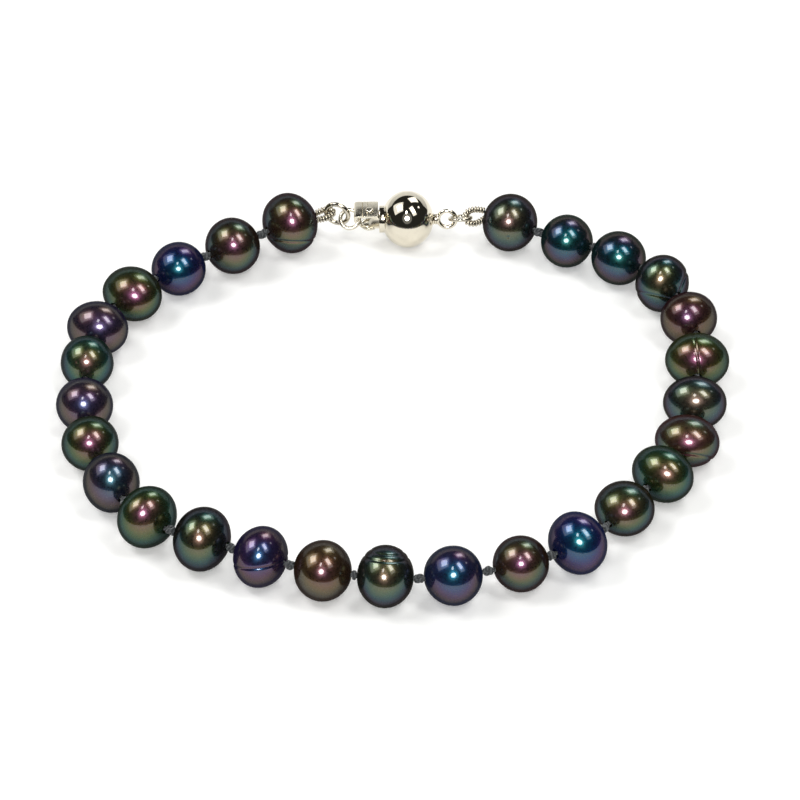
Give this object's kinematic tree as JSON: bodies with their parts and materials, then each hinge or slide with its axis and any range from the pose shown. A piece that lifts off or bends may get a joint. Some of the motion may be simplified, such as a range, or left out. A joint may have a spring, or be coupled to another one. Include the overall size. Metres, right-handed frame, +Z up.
{
  "type": "knotted pearl bracelet",
  "caption": "Dark round freshwater pearls knotted on grey silk into a closed loop, with coiled wire ends, jump rings and a polished silver ball clasp.",
  "frame": {"origin": "middle of the bracelet's bounding box, on the table it lies on", "axes": "+Z up from the table, +Y to the back of the loop where the clasp lies, +X to the right, towards the clasp's ball end"},
  "size_m": [0.0688, 0.0642, 0.0066],
  "materials": {
    "nacre": "gloss",
    "silk": "matte",
    "silver": "polished",
    "silver_wire": "polished"
  },
  "bodies": {
    "root": {"pearl_01": "nacre", "pearl_02": "nacre", "pearl_03": "nacre", "pearl_04": "nacre", "pearl_05": "nacre", "pearl_06": "nacre", "pearl_07": "nacre", "pearl_08": "nacre", "pearl_09": "nacre", "pearl_10": "nacre", "pearl_11": "nacre", "pearl_12": "nacre", "pearl_13": "nacre", "pearl_14": "nacre", "pearl_15": "nacre", "pearl_16": "nacre", "pearl_17": "nacre", "pearl_18": "nacre", "pearl_19": "nacre", "pearl_20": "nacre", "pearl_21": "nacre", "pearl_22": "nacre", "pearl_23": "nacre", "pearl_24": "nacre", "pearl_25": "nacre", "pearl_26": "nacre", "pearl_27": "nacre", "silk_thread": "silk", "gimp_left": "silver_wire", "gimp_right": "silver_wire", "jump_ring_left": "silver", "jump_ring_right": "silver", "clasp_ball": "silver", "clasp_tongue": "silver"}
  },
  "joints": []
}
